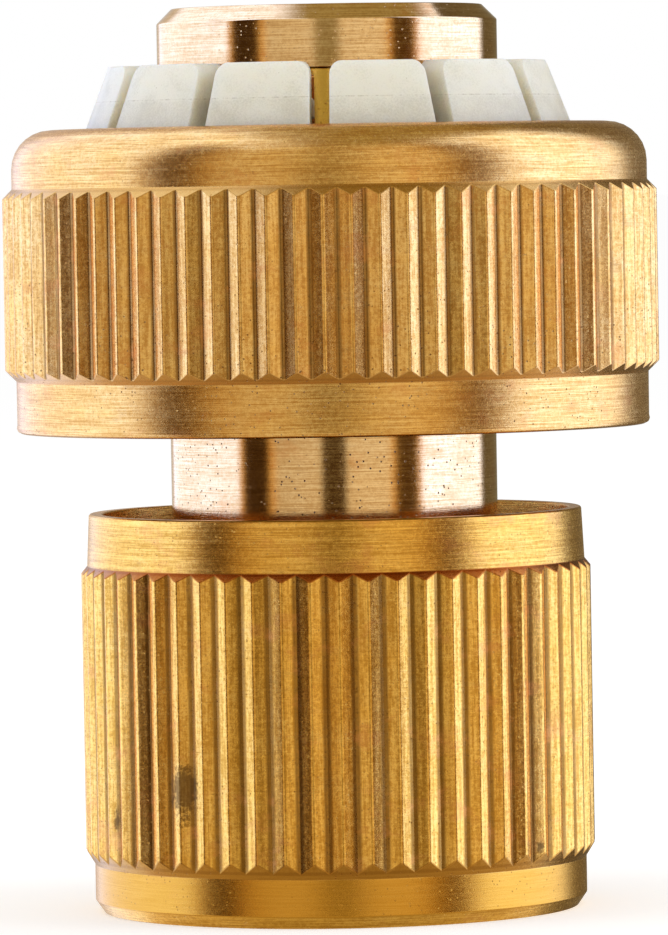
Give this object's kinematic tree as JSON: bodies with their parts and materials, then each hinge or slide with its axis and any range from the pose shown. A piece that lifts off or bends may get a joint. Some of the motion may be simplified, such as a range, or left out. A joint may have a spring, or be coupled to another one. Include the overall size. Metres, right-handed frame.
{
  "type": "hose waterstop connector",
  "caption": "Brass quick-release hose connector with waterstop valve: fluted compression nut for the hose, sliding fluted collar, nylon claw ring and socket nose.",
  "frame": {"origin": "centre of the nut's bottom face, on which the connector stands", "axes": "+Z along the common axis, from the hose end to the socket's mouth"},
  "size_m": [0.0376, 0.0376, 0.0516],
  "materials": {
    "nut_brass": "fluted, satin, lathe-turned",
    "collar_brass": "fluted, satin, lathe-turned",
    "body_brass": "turned, polished",
    "claw_nylon": "natural nylon, translucent",
    "grip_nylon": "natural nylon",
    "valve_plastic": "moulded",
    "seal_rubber": "smooth",
    "spring_steel": "drawn stainless wire",
    "washer_steel": "pressed stainless"
  },
  "bodies": {
    "fitting": {"socket_body": "body_brass", "hose_tail": "body_brass", "tail_seal": "seal_rubber", "claw_ring": "claw_nylon", "spring_washer": "washer_steel", "retaining_ring": "spring_steel", "collar_spring": "spring_steel", "valve_spring": "spring_steel"},
    "collar": {"release_collar": "collar_brass"},
    "valve": {"valve_plunger": "valve_plastic", "valve_head": "valve_plastic", "valve_o_ring": "seal_rubber"},
    "grip": {"hose_grip": "grip_nylon"},
    "nut": {"compression_nut": "nut_brass"}
  },
  "joints": [
    {"name": "collar_pull", "type": "slide", "parent": "fitting", "child": "collar", "axis": [0, 0, -1], "range_m": [0, 0.004], "stiffness_N_per_m": 1500, "springref_m": -0.0035, "deforming": ["collar_spring"]},
    {"name": "valve_push", "type": "slide", "parent": "fitting", "child": "valve", "axis": [0, 0, -1], "range_m": [0, 0.004], "stiffness_N_per_m": 500, "springref_m": -0.005, "deforming": ["valve_spring"]},
    {"name": "nut_travel", "type": "slide", "parent": "fitting", "child": "grip", "axis": [0, 0, -1], "range_m": [0, 0.0045]},
    {"name": "nut_turn", "type": "hinge", "parent": "grip", "child": "nut", "pos_m": [0, 0, 0.011], "axis": [0, 0, -1], "range_deg": [0, 1080]}
  ],
  "couplings": [
    {"joint": "nut_travel", "follows": "nut_turn", "m_per_rad": 0.00023873}
  ]
}
